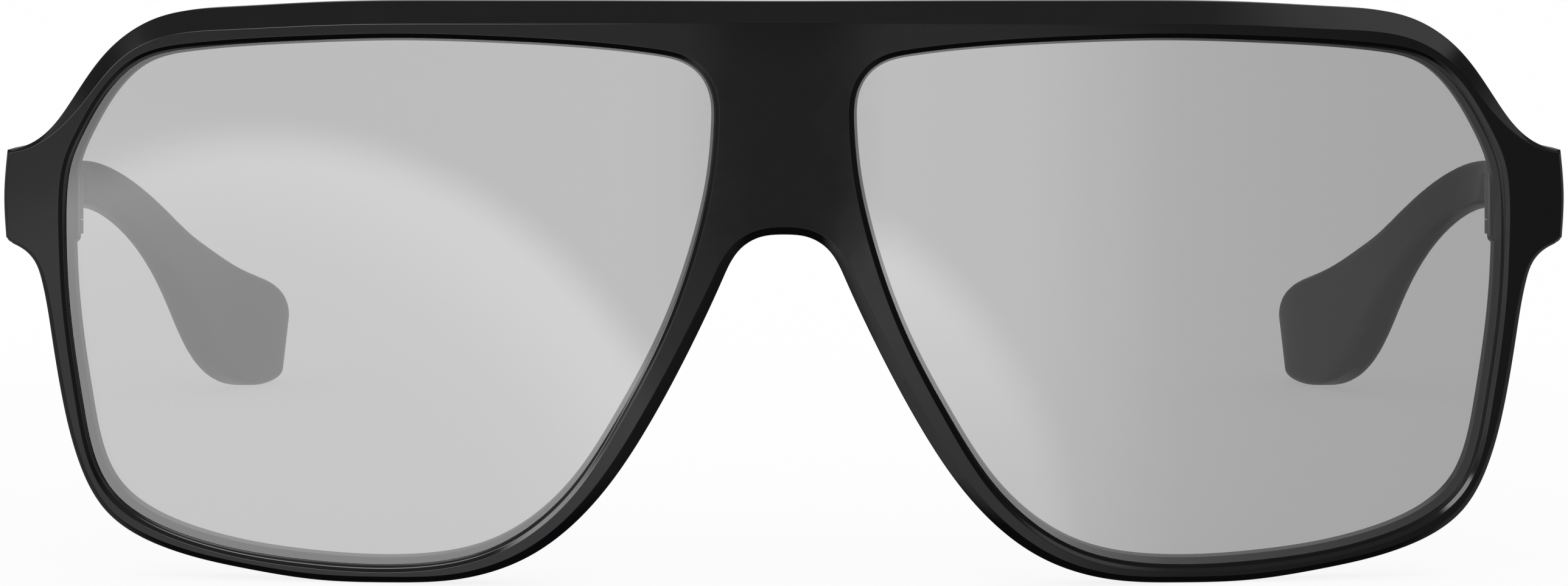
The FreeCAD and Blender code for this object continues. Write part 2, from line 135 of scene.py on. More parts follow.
# Light in the reflections: the walls' light by compass angle, and round lamps as (direction, radius,
# softness). Angles are in degrees, and the front faces 0.
WALL_LIGHT = [
    (-180, 0.22), (-110, 0.2), (-90, 0.14), (-75, 0.3), (-60, 0.7), (-30, 0.62), (-8, 0.66),
    (-4.5, 0.6), (-3.6, 0.3), (3.6, 0.28), (4.5, 0.66), (13, 0.6), (17, 0.44), (21, 0.28),
    (26, 0.22), (35, 0.16), (75, 0.08), (90, 0.14), (110, 0.2), (180, 0.22),
]
LEFT_LAMP = ((-0.424, -0.85, -0.314), 20.6, 1.5)
LEFT_LAMP_CORE = ((-0.478, -0.795, -0.375), 21.0, 6.0)
RIGHT_LAMP = ((-0.119, -0.938, -0.326), 21.0, 1.5)
TOP_PANEL = ((0.55, -0.2, 0.75), 20.0, 4.0)
RIDGE_LAMP = ((-0.37, -0.79, 0.5), 13.0, 4.0)
CORNER_LAMP = ((-0.79, -0.46, 0.41), 13.0, 4.0)
BACK_PANEL = ((0.0, 0.75, 0.6), 28.0, 6.0)
RIGHT_SIDE_PANEL = ((-1.0, 0.25, 0.55), 14.0, 6.0)
LEFT_SIDE_PANEL = ((1.0, 0.25, 0.55), 14.0, 6.0)

FLOOR_REACH = 4.0
FLOOR_GLOW = 0.85
FLOOR_LIGHT = 1.02
CAMERA_DISTANCE = 1500.0
CAMERA_LENS = 369.7
SENSOR_WIDTH = 36.0
VIEW_DEPTH = 20.0


def placed(point):
    """A worn place in millimetres, in the model's frame in metres."""
    turned = Matrix.Rotation(math.radians(RESTING_TILT), 3, "X") @ Vector(point)
    return (turned + Vector(RESTING_PLACE)) * MM


def linear(code):
    """An sRGB hex colour as linear red, green, blue and 1."""
    values = [int(code[i : i + 2], 16) / 255 for i in (1, 3, 5)]
    return [v / 12.92 if v <= 0.04045 else ((v + 0.055) / 1.055) ** 2.4 for v in values] + [1.0]


# ---- Sizes and colours that a user would change -----------------------------------------------------


def size(name, description, default, low, high):
    """A length in millimetres that Blender keeps in metres."""
    return FloatProperty(
        name=name, description=description, default=default * MM, min=low * MM, max=high * MM,
        unit="LENGTH", subtype="DISTANCE", precision=5,
    )


def share(name, description, default):
    """A number from 0 to 1."""
    return FloatProperty(
        name=name, description=description, default=default, min=0.0, max=1.0, subtype="FACTOR"
    )


def colour(name, description, code):
    """A colour picked as sRGB hex."""
    return FloatVectorProperty(
        name=name, description=description, default=linear(code)[:3], min=0.0, max=1.0, size=3,
        subtype="COLOR",
    )


class FrontSizes(bpy.types.PropertyGroup):
    """Edge sizes of the front and its lens openings"""

    ridge: size("Ridge radius", "Radius left by the mould polisher on every ridge", 0.1, 0.02, 0.3)
    bevel: size("Opening bevel", "Width of the bevel round each lens opening", 0.35, 0.1, 0.8)
    block_edge: size("Block edge", "Radius of the endpiece blocks' edges", 0.6, 0.1, 1.5)


class NylonColours(bpy.types.PropertyGroup):
    """Colours of the moulded parts"""

    gloss: colour("Gloss nylon", "Colour of the front, temples and buttons", "#08080A")
    satin: colour("Satin nylon", "Colour of the covers inside the temples", "#111113")


class LensLook(bpy.types.PropertyGroup):
    """How dark and how mirrored the lenses are"""

    tint: colour("Tint", "What one face of a lens lets through", "#D8D8D8")
    mirror: share("Mirror", "What the outside coating reflects straight on", 0.25)


class MetalColours(bpy.types.PropertyGroup):
    """Colours of the bare metal"""

    steel: colour("Steel", "Colour of hinges and screws", "#C3C2C0")
    gold: colour("Gold", "Colour of the plated charging contacts", "#E9BE72")


class StageLook(bpy.types.PropertyGroup):
    """The floor and the light round the glasses"""

    floor: colour("Floor", "Colour of the plain floor", "#F4F4F4")
    strength: share("Fill light", "Strength of the even light from all round", 0.95)


# ---- Nodes and materials ----------------------------------------------------------------------------


def add(tree, kind, inputs=None, **settings):
    """Adds a node, sets its settings, and gives its inputs numbers or links."""
    node = tree.nodes.new(kind)
    for name, value in settings.items():
        setattr(node, name, value)
    for name, value in (inputs or {}).items():
        if isinstance(value, bpy.types.NodeSocket):
            tree.links.new(value, node.inputs[name])
        else:
            node.inputs[name].default_value = value
    return node


def new_material(name):
    """An empty material: its node tree and its surface input."""
    material = bpy.data.materials.new(name)
    material.use_nodes = True
    tree = material.node_tree
    tree.nodes.clear()
    output = add(tree, "ShaderNodeOutputMaterial")
    return material, tree, output


def four(rgb):
    """A colour with full opacity, as a colour socket takes it."""
    return (*rgb, 1.0)


def gloss_nylon(name, rgb, roughness=0.09):
    """Black nylon 12, injection moulded in a polished tool: deep gloss over near-black.

    The gate leaves slow swells about 9 mm long, and handling leaves the gloss a little uneven.
    """
    material, tree, output = new_material(name)
    place = add(tree, "ShaderNodeTexCoord").outputs["Object"]
    swell = add(tree, "ShaderNodeTexNoise", {"Vector": place, "Scale": 1 / (9 * MM), "Detail": 1.0})
    haze = add(tree, "ShaderNodeTexNoise", {"Vector": place, "Scale": 1 / (3 * MM), "Detail": 4.0})
    rough = add(tree, "ShaderNodeMapRange", {
        "Value": haze.outputs["Fac"], "From Min": 0.35, "From Max": 0.7,
        "To Min": roughness * 0.75, "To Max": roughness * 1.35,
    })
    bump = add(tree, "ShaderNodeBump", {
        "Height": swell.outputs["Fac"], "Strength": 0.05, "Distance": 0.05 * MM,
    })
    surface = add(tree, "ShaderNodeBsdfPrincipled", {
        "Base Color": four(rgb), "IOR": 1.5, "Roughness": rough.outputs["Result"],
        "Normal": bump.outputs["Normal"],
    })
    tree.links.new(surface.outputs["BSDF"], output.inputs["Surface"])
    return material


def satin_nylon(name, rgb):
    """Black nylon moulded against a spark-eroded tool: an even satin from grains about 0.15 mm across."""
    material, tree, output = new_material(name)
    place = add(tree, "ShaderNodeTexCoord").outputs["Object"]
    grain = add(tree, "ShaderNodeTexNoise", {"Vector": place, "Scale": 1 / (0.15 * MM), "Detail": 2.0})
    bump = add(tree, "ShaderNodeBump", {
        "Height": grain.outputs["Fac"], "Strength": 0.35, "Distance": 0.02 * MM,
    })
    rough = add(tree, "ShaderNodeMapRange", {
        "Value": grain.outputs["Fac"], "To Min": 0.36, "To Max": 0.5,
    })
    surface = add(tree, "ShaderNodeBsdfPrincipled", {
        "Base Color": four(rgb), "IOR": 1.5, "Roughness": rough.outputs["Result"],
        "Normal": bump.outputs["Normal"],
    })
    tree.links.new(surface.outputs["BSDF"], output.inputs["Surface"])
    return material


def coated_polycarbonate(name, rgb, mirror):
    """Grey cast polycarbonate with a vacuum coating: part mirror, part clear tint, with clean edges.

    The mirror share grows towards grazing angles as a coating's does, the same from either side.
    Faint wiping marks about 6 mm long vary the gloss.
    """
    material, tree, output = new_material(name)
    place = add(tree, "ShaderNodeTexCoord").outputs["Object"]
    wiping = add(tree, "ShaderNodeTexNoise", {"Vector": place, "Scale": 1 / (6 * MM), "Detail": 3.0})
    rough = add(tree, "ShaderNodeMapRange", {
        "Value": wiping.outputs["Fac"], "From Min": 0.3, "From Max": 0.75, "To Min": 0.01, "To Max": 0.035,
    })
    clear = add(tree, "ShaderNodeBsdfTransparent", {"Color": four(rgb)})
    gloss = add(tree, "ShaderNodeBsdfGlossy", {
        "Color": (1, 1, 1, 1), "Roughness": rough.outputs["Result"],
    })
    slant = add(tree, "ShaderNodeLayerWeight", {"Blend": 0.5})
    grazing = add(tree, "ShaderNodeMath", {0: slant.outputs["Facing"], 1: 5.0}, operation="POWER")
    part = add(tree, "ShaderNodeMapRange", {"Value": grazing.outputs[0], "To Min": mirror})
    surface = add(tree, "ShaderNodeMixShader", {0: part.outputs["Result"]})
    tree.links.new(clear.outputs["BSDF"], surface.inputs[1])
    tree.links.new(gloss.outputs["BSDF"], surface.inputs[2])
    tree.links.new(surface.outputs["Shader"], output.inputs["Surface"])
    return material


def brushed_steel(name, rgb):
    """Stainless steel, blanked and tumbled: soft silver with fine marks 0.2 mm apart across it."""
    material, tree, output = new_material(name)
    place = add(tree, "ShaderNodeTexCoord").outputs["Object"]
    stretched = add(tree, "ShaderNodeMapping", {"Vector": place, "Scale": (1.0, 1.0, 0.12)})
    marks = add(tree, "ShaderNodeTexNoise", {
        "Vector": stretched.outputs["Vector"], "Scale": 1 / (0.2 * MM), "Detail": 3.0,
    })
    rough = add(tree, "ShaderNodeMapRange", {"Value": marks.outputs["Fac"], "To Min": 0.2, "To Max": 0.42})
    bump = add(tree, "ShaderNodeBump", {
        "Height": marks.outputs["Fac"], "Strength": 0.2, "Distance": 0.01 * MM,
    })
    surface = add(tree, "ShaderNodeBsdfPrincipled", {
        "Base Color": four(rgb), "Metallic": 1.0, "Roughness": rough.outputs["Result"],
        "Normal": bump.outputs["Normal"],
    })
    tree.links.new(surface.outputs["BSDF"], output.inputs["Surface"])
    return material


def speckled(name, first, second, grain_mm, roughness, metallic=0.0):
    """A made finish of two close colours in spots: plated, painted or laminated, as its caller says."""
    material, tree, output = new_material(name)
    place = add(tree, "ShaderNodeTexCoord").outputs["Object"]
    spots = add(tree, "ShaderNodeTexNoise", {"Vector": place, "Scale": 1 / (grain_mm * MM), "Detail": 3.0})
    paint = add(tree, "ShaderNodeMix", {
        "Factor": spots.outputs["Fac"], 6: linear(first), 7: linear(second),
    }, data_type="RGBA")
    rough = add(tree, "ShaderNodeMapRange", {
        "Value": spots.outputs["Fac"], "To Min": roughness * 0.8, "To Max": roughness * 1.2,
    })
    surface = add(tree, "ShaderNodeBsdfPrincipled", {
        "Base Color": paint.outputs[2], "Metallic": metallic, "Roughness": rough.outputs["Result"],
    })
    tree.links.new(surface.outputs["BSDF"], output.inputs["Surface"])
    return material


def dress(node, material):
    """Gives a CAD node one finish."""
    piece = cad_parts[node]
    piece.data.materials.clear()
    piece.data.materials.append(material)


# ---- Curves and meshes ------------------------------------------------------------------------------


def smooth_run(points, step, closed=False):
    """Places along the smooth curve through points, about step apart. A closed run leaves out its end."""
    p = np.array(points, float)
    if closed:
        p = np.vstack([p, p[:1]])
    gaps = np.linalg.norm(np.diff(p, axis=0), axis=1)
    slopes = np.diff(p, axis=0) / gaps[:, None]
    count = len(p)
    system = np.zeros((count, count))
    right = np.zeros_like(p)
    for i in range(1, count - 1):
        system[i, i - 1 : i + 2] = gaps[i - 1], 2 * (gaps[i - 1] + gaps[i]), gaps[i]
        right[i] = 6 * (slopes[i] - slopes[i - 1])
    if closed:
        system[0, 0], system[0, -1] = 1, -1
        system[-1, 0:2] = 2 * gaps[0], gaps[0]
        system[-1, -2:] += gaps[-1], 2 * gaps[-1]
        right[-1] = 6 * (slopes[0] - slopes[-1])
    else:
        system[0, 0] = system[-1, -1] = 1
    bend = np.linalg.solve(system, right)
    knots = np.concatenate([[0], np.cumsum(gaps)])
    steps = max(2, round(knots[-1] / step))
    run = []
    for u in np.linspace(0, knots[-1], steps + 1)[: steps if closed else None]:
        i = min(int(np.searchsorted(knots, u, side="right")) - 1, count - 2)
        t, h = u - knots[i], gaps[i]
        rest = h - t
        curved = (bend[i] * rest**3 + bend[i + 1] * t**3) / (6 * h)
        run.append(curved + (p[i] / h - bend[i] * h / 6) * rest + (p[i + 1] / h - bend[i + 1] * h / 6) * t)
    return run


def both_sides(points):
    """The points mirrored to the wearer's right, then the points."""
    mirrored = [(-p[0], *p[1:]) for p in reversed(points)]
    return mirrored + points[1:]


def front_outline():
    """The front's outline, clockwise as it faces the viewer, as (across, up, chamfer width)."""
    top = smooth_run(both_sides(TOP_EDGE), OUTLINE_STEP)
    left_end = smooth_run(ENDPIECE_EDGE, OUTLINE_STEP)
    low = smooth_run(both_sides(LOWER_EDGE[::-1])[::-1], OUTLINE_STEP)
    right_end = [np.array([-p[0], *p[1:]]) for p in reversed(left_end)]
    return top + left_end[1:] + low + right_end[:-1]


def inward_normals(loop):
    """The unit directions into a clockwise loop, and how far a sharp corner stretches an inset."""
    p = np.array(loop)[:, :2]
    before = p - np.roll(p, 1, axis=0)
    after = np.roll(p, -1, axis=0) - p
    turned = []
    for run in (before, after):
        unit = run / np.linalg.norm(run, axis=1)[:, None]
        turned.append(np.stack([unit[:, 1], -unit[:, 0]], axis=1))
    total = turned[0] + turned[1]
    return total / np.maximum(np.sum(total * total, axis=1) / 2, 0.7)[:, None]


def at_depth(x, z, depth):
    """The place this far under the front's face, on the line from APEX through the face at (x, z)."""
    y = CENTRE.y - math.sqrt(FRONT_RADIUS**2 - x * x - (z - CENTRE.z) ** 2)
    start = Vector((x, y, z))
    along = (APEX - start).normalized()
    b = (start - CENTRE).dot(along)
    c = FRONT_RADIUS**2 - (FRONT_RADIUS - depth) ** 2
    return start + along * (-b - math.sqrt(b * b - c))


def eased(profile, radius, steps=3):
    """A run of (inset, depth) places with each inner corner rounded."""
    points = [Vector(p) for p in profile]
    run = [points[0]]
    for before, corner, after in zip(points, points[1:], points[2:]):
        reach = min(radius, (before - corner).length * 0.45, (after - corner).length * 0.45)
        start = corner + (before - corner).normalized() * reach
        end = corner + (after - corner).normalized() * reach
        for i in range(steps + 1):
            t = i / steps
            run.append(start * (1 - t) ** 2 + corner * 2 * t * (1 - t) + end * t * t)
    return run + [points[-1]]


def add_strip(mesh, rings):
    """Quads between each two neighbouring rings of vertices."""
    for a, b in zip(rings, rings[1:]):
        for i in range(len(a)):
            j = (i + 1) % len(a)
            mesh.faces.new((a[i], a[j], b[j], b[i]))


def inside(points, loop):
    """Which points lie inside a loop."""
    p, a = np.array(points), np.array(loop)
    b = np.roll(a, -1, axis=0)
    x, z = p[:, 0][:, None], p[:, 1][:, None]
    spans = (a[:, 1] > z) != (b[:, 1] > z)
    rise = np.where(b[:, 1] == a[:, 1], 1.0, b[:, 1] - a[:, 1])
    crossing = a[:, 0] + (z - a[:, 1]) * (b[:, 0] - a[:, 0]) / rise
    return np.sum(spans & (x < crossing), axis=1) % 2 == 1


def add_face(mesh, outer, holes, depth, step):
    """A smooth face on the shell at one depth, between an outer ring and its holes.

    A ring is a list of (vertex, (across, up)) in order.
    """
    rings = [outer] + holes
    flat = [place for ring in rings for _, place in ring]
    verts = [vertex for ring in rings for vertex, _ in ring]
    edges = []
    first = 0
    for ring in rings:
        edges += [(first + i, first + (i + 1) % len(ring)) for i in range(len(ring))]
        first += len(ring)
    loops = [[place for _, place in ring] for ring in rings]
    low, high = np.min(loops[0], axis=0), np.max(loops[0], axis=0)
    grid = [(x, z) for x in np.arange(low[0], high[0], step) for z in np.arange(low[1], high[1], step)]
    keep = inside(grid, loops[0])
    for loop in loops[1:]:
        keep &= ~inside(grid, loop)
    rim = np.array(flat)
    for place, kept in zip(grid, keep):
        if kept and np.min(np.sum((rim - place) ** 2, axis=1)) > (0.45 * step) ** 2:
            flat.append(place)
            verts.append(mesh.verts.new(at_depth(*place, depth)))
    _, _, faces, origins, _, _ = delaunay_2d_cdt([Vector(p) for p in flat], edges, [], 0, 1e-6)
    origins = [o[0] for o in origins]
    corners = [[origins[i] for i in face] for face in faces]
    middles = [np.mean([flat[i] for i in c], axis=0) for c in corners]
    keep = inside(middles, loops[0])
    for loop in loops[1:]:
        keep &= ~inside(middles, loop)
    for face, kept in zip(corners, keep):
        if kept:
            mesh.faces.new([verts[i] for i in face])


def finished(mesh, name, materials, body, replaced, weighted=True):
    """Turns a bmesh in worn millimetres into a piece that rides on a body."""
    for vertex in mesh.verts:
        vertex.co = placed(vertex.co)
    bmesh.ops.recalc_face_normals(mesh, faces=mesh.faces)
    for face in mesh.faces:
        face.smooth = True
    data = bpy.data.meshes.new(name)
    mesh.to_mesh(data)
    mesh.free()
    for material in materials:
        data.materials.append(material)
    piece = bpy.data.objects.new(name, data)
    bpy.context.scene.collection.objects.link(piece)
    if weighted:
        modifier = piece.modifiers.new("Even shading", "WEIGHTED_NORMAL")
        modifier.keep_sharp = True
    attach(piece, body)
    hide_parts(*replaced)
    return piece


def ring_at(mesh, loop, normals, profile_at):
    """One vertex ring for each step of the profile. profile_at(i) gives the profile at a loop's point."""
    profiles = [profile_at(i) for i in range(len(loop))]
    rings = []
    for k in range(len(profiles[0])):
        ring = []
        for i, point in enumerate(loop):
            inset, depth = profiles[i][k]
            place = (point[0] + normals[i][0] * inset, point[1] + normals[i][1] * inset)
            ring.append((mesh.verts.new(at_depth(*place, depth)), place))
        rings.append(ring)
    return rings


def verts_of(rings):
    """The vertices of rings that also carry their places."""
    return [[vertex for vertex, _ in ring] for ring in rings]


def opening_loop(side):
    """The lens opening, clockwise as it faces the viewer."""
    loop = smooth_run([(side * x, z, ledge) for x, z, ledge in OPENING], OUTLINE_STEP, closed=True)
    return loop if side > 0 else loop[::-1]


def add_shell(mesh, sizes):
    """The front's shell: chamfered outline, two grooved openings, and the front and rear faces."""
    ridge = sizes.ridge / MM
    bevel = sizes.bevel / MM
    loop = front_outline()
    normals = inward_normals(loop)

    def edge_profile(i):
        width = float(loop[i][2])
        deep = CHAMFER_LEAST_DEPTH + CHAMFER_SLOPE * width
        return eased([
            (width + FACE_MARGIN, 0.0), (width, 0.0), (0.0, deep), (0.0, FRONT_THICKNESS - REAR_CHAMFER),
            (REAR_CHAMFER, FRONT_THICKNESS), (REAR_CHAMFER + REAR_MARGIN, FRONT_THICKNESS),
        ], ridge)

    rings = ring_at(mesh, loop, normals, edge_profile)
    add_strip(mesh, verts_of(rings))
    front_holes, rear_holes = [], []
    groove_front = LENS_SETBACK - LENS_GAP
    groove_back = LENS_SETBACK + LENS_THICKNESS + LENS_GAP
    groove = -(GROOVE_DEPTH + LENS_GAP)

    def opening_profile(ledge):
        face = -bevel - ledge
        return eased([
            (face - FACE_MARGIN, 0.0), (face, 0.0),
            (-ledge, groove_front - LEDGE_START), (0.0, groove_front - LEDGE_END),
            (0.0, groove_front), (groove, groove_front), (groove, groove_back), (REAR_LIP, groove_back),
            (REAR_LIP, FRONT_THICKNESS - LIP_CHAMFER), (REAR_LIP - LIP_CHAMFER, FRONT_THICKNESS),
            (REAR_LIP - LIP_CHAMFER - REAR_MARGIN, FRONT_THICKNESS),
        ], ridge * OPENING_RIDGE_SHARE)

    for _, side in SIDES:
        opening = opening_loop(side)
        inward = inward_normals(opening)
        holes = ring_at(mesh, opening, inward, lambda i: opening_profile(float(opening[i][2])))
        add_strip(mesh, verts_of(holes))
        front_holes.append(holes[0])
        rear_holes.append(holes[-1])
    add_face(mesh, rings[0], front_holes, 0.0, GRID_STEP)
    add_face(mesh, rings[-1], rear_holes, FRONT_THICKNESS, GRID_STEP)


def add_block(mesh, side, edge):
    """An endpiece block, its front end inside the shell."""
    made = bmesh.ops.create_cube(mesh, size=1.0)
    low, high = Vector(BLOCK_LOW), Vector(BLOCK_HIGH)
    for vertex in made["verts"]:
        for axis in range(3):
            vertex.co[axis] = high[axis] if vertex.co[axis] > 0 else low[axis]
    edges = list({e for v in made["verts"] for e in v.link_edges})
    before = set(mesh.verts) - set(made["verts"])
    bmesh.ops.bevel(mesh, geom=edges, offset=edge, segments=4, profile=0.5, affect="EDGES")
    for vertex in set(mesh.verts) - before:
        vertex.co.x *= side


def add_nose_rest(mesh, side):
    """A moulded nose rest: a rounded pad behind the nasal rim."""
    loop = smooth_run([(side * x, z) for x, z in NOSE_REST], OUTLINE_STEP, closed=True)
    middle = np.mean(loop, axis=0)
    rings = []
    for turn in np.linspace(0, math.pi / 2, NOSE_REST_RINGS + 1)[:-1]:
        spread = math.cos(turn) ** NOSE_REST_NARROWING
        y = NOSE_REST_FROM + (NOSE_REST_TO - NOSE_REST_FROM) * math.sin(turn) ** NOSE_REST_RISE
        places = [middle + (p - middle) * spread for p in loop]
        rings.append([mesh.verts.new((p[0], y, p[1])) for p in places])
    add_strip(mesh, rings)
    mesh.faces.new(rings[-1])
    mesh.faces.new(rings[0])


# ---- Operators --------------------------------------------------------------------------------------


class GLASSES_OT_front(bpy.types.Operator):
    """Builds the moulded front with its endpiece blocks and nose rests"""

    bl_idname = "glasses.front"
    bl_label = "Build front"

    def execute(self, context):
        sizes = context.scene.glasses_front
        mesh = bmesh.new()
        add_shell(mesh, sizes)
        for _, side in SIDES:
            add_block(mesh, side, sizes.block_edge / MM)
            add_nose_rest(mesh, side)
        nylon = gloss_nylon("Moulded gloss nylon", context.scene.glasses_nylon.gloss)
        finished(mesh, "moulded_front", [nylon], "front", ["front_frame"])
        return {"FINISHED"}


class GLASSES_OT_lenses(bpy.types.Operator):
    """Builds the two lenses in their grooves"""

    bl_idname = "glasses.lenses"
    bl_label = "Build lenses"

    def execute(self, context):
        look = context.scene.glasses_lens
        outside = coated_polycarbonate("Flash-coated polycarbonate", look.tint, look.mirror)
        inside_face = coated_polycarbonate("Anti-reflection polycarbonate", look.tint, INSIDE_MIRROR)
        for name, side in SIDES:
            mesh = bmesh.new()
            loop = opening_loop(side)
            profile = [(-GROOVE_DEPTH, LENS_SETBACK), (-GROOVE_DEPTH, LENS_SETBACK + LENS_THICKNESS)]
            rings = ring_at(mesh, loop, inward_normals(loop), lambda i: profile)
            add_strip(mesh, verts_of(rings))
            for edge in mesh.edges:
                edge.smooth = False
            add_face(mesh, rings[0], [], LENS_SETBACK, LENS_GRID_STEP)
            for face in mesh.faces:
                face.material_index = 0
            before = set(mesh.faces)
            add_face(mesh, rings[1], [], LENS_SETBACK + LENS_THICKNESS, LENS_GRID_STEP)
            for face in set(mesh.faces) - before:
                face.material_index = 1
            finished(
                mesh, f"{name}_coated_lens", [outside, inside_face], "front",
                [f"{name}_lens"], weighted=False,
            )
        return {"FINISHED"}


class GLASSES_OT_temples(bpy.types.Operator):
    """Finishes the temples, their covers and buttons"""

    bl_idname = "glasses.temples"
    bl_label = "Finish temples"

    def execute(self, context):
        colours = context.scene.glasses_nylon
        gloss = gloss_nylon("Moulded gloss nylon temple", colours.gloss)
        satin = satin_nylon("Spark-eroded satin nylon", colours.satin)
        for name, _ in SIDES:
            dress(f"{name}_temple_shell", gloss)
            dress(f"{name}_button", gloss)
            dress(f"{name}_temple_cover", satin)
        return {"FINISHED"}


class GLASSES_OT_metalwork(bpy.types.Operator):
    """Finishes the hinges, screws, contacts, light pipes and speaker meshes"""

    bl_idname = "glasses.metalwork"
    bl_label = "Finish metalwork"

    def execute(self, context):
        colours = context.scene.glasses_metal
        steel = brushed_steel("Tumbled stainless steel", colours.steel)
        gold = brushed_steel("Hard gold plating", colours.gold)
        # Etched steel mesh, painted black: dark and slightly uneven.
        grille = speckled("Painted etched mesh", "#16161A", "#222226", 0.2, 0.45)
        # Clear acrylic rod, dark inside: a small milky dot.
        pipe = speckled("Diffusing acrylic", "#C9CED2", "#DDE2E6", 0.3, 0.25)
        for name, _ in SIDES:
            for node in STEEL_NODES:
                dress(f"{name}_{node}", steel)
            dress(f"{name}_charging_contacts", gold)
            dress(f"{name}_speaker_mesh", grille)
            dress(f"{name}_light_pipe", pipe)
        return {"FINISHED"}


class GLASSES_OT_electronics(bpy.types.Operator):
    """Finishes the parts closed inside each temple"""

    bl_idname = "glasses.electronics"
    bl_label = "Finish electronics"

    def execute(self, context):
        finishes = {
            # Aluminium laminate pouch: pale, dull metal with slight dimples.
            "battery": speckled("Pouch foil", "#A9ABAD", "#C4C6C8", 1.2, 0.4, 0.9),
            # Glass-epoxy laminate under solder mask: dark green, semi-gloss.
            "circuit_board": speckled("Solder-masked laminate", "#0E3B22", "#145031", 0.8, 0.35),
            # Polyimide film over copper: amber and smooth.
            "touch_sensor": speckled("Polyimide film", "#A8641C", "#BF7A2A", 1.0, 0.3),
            # Drawn nickel-plated cans: light grey metal.
            "speaker": speckled("Nickel-plated can", "#B9B6AE", "#CBC8C0", 0.6, 0.3, 1.0),
            "microphone": speckled("Tinned can", "#C6C4BD", "#D6D4CE", 0.5, 0.28, 1.0),
            "tact_switch": speckled("Steel-faced switch", "#9C9B98", "#B3B2AF", 0.5, 0.35, 1.0),
        }
        for name, _ in SIDES:
            for node, material in finishes.items():
                dress(f"{name}_{node}", material)
        return {"FINISHED"}


def soft_disk(tree, direction, towards, radius, soft):
    """How much a direction lies in a round lamp seen in this direction, from 0 to 1."""
    along = add(tree, "ShaderNodeVectorMath", {
        0: direction, 1: Vector(towards).normalized(),
    }, operation="DOT_PRODUCT")
    edge = add(tree, "ShaderNodeMapRange", {
        "Value": along.outputs["Value"], "From Min": math.cos(math.radians(radius + soft)),
        "From Max": math.cos(math.radians(radius - soft)),
    }, interpolation_type="SMOOTHSTEP")
    return edge.outputs["Result"]


def wall_light(tree, parts):
    """The walls' light by compass angle, falling off just above eye level."""
    ahead = add(tree, "ShaderNodeMath", {0: parts["Y"], 1: -1.0}, operation="MULTIPLY")
    around = add(tree, "ShaderNodeMath", {0: parts["X"], 1: ahead.outputs[0]}, operation="ARCTAN2")
    turn = add(tree, "ShaderNodeMapRange", {
        "Value": around.outputs[0], "From Min": -math.pi, "From Max": math.pi,
    })
    walls = add(tree, "ShaderNodeValToRGB", {"Fac": turn.outputs["Result"]})
    ramp = walls.color_ramp.elements
    for i, (angle, value) in enumerate(WALL_LIGHT):
        stop = ramp[i] if i < 2 else ramp.new(1.0)
        stop.position = angle / 360 + 0.5
        stop.color = (value, value, value, 1)
    dim = add(tree, "ShaderNodeMapRange", {
        "Value": parts["Z"], "From Min": 0.13, "From Max": 0.165, "To Min": 1.0, "To Max": 0.6,
    })
    glow = add(tree, "ShaderNodeVectorMath", {
        0: walls.outputs["Color"], "Scale": dim.outputs["Result"],
    }, operation="SCALE")
    return glow.outputs["Vector"]


def right_lamp(tree, direction, parts):
    """The right lamp's shape and light: a flag hides it from the bridge, and it is brighter at its top."""
    flag = add(tree, "ShaderNodeMapRange", {"Value": parts["X"], "From Min": 0.05, "From Max": 0.075})
    shape = add(tree, "ShaderNodeMath", {
        0: soft_disk(tree, direction, *RIGHT_LAMP), 1: flag.outputs["Result"],
    }, operation="MULTIPLY")
    fade = add(tree, "ShaderNodeMapRange", {
        "Value": parts["Z"], "From Min": -0.26, "From Max": -0.06, "To Min": 0.74, "To Max": 1.15,
    })
    return shape.outputs[0], fade.outputs["Result"]


def ceiling(tree, parts):
    """How much a direction points at the ceiling in front of the glasses, from 0 to 1."""
    ahead = add(tree, "ShaderNodeMapRange", {"Value": parts["Y"], "From Min": 0.0, "From Max": -0.15})
    high = add(tree, "ShaderNodeMapRange", {"Value": parts["Z"], "From Min": 0.35, "From Max": 0.6})
    both = add(tree, "ShaderNodeMath", {
        0: high.outputs["Result"], 1: ahead.outputs["Result"],
    }, operation="MULTIPLY")
    return both.outputs[0]


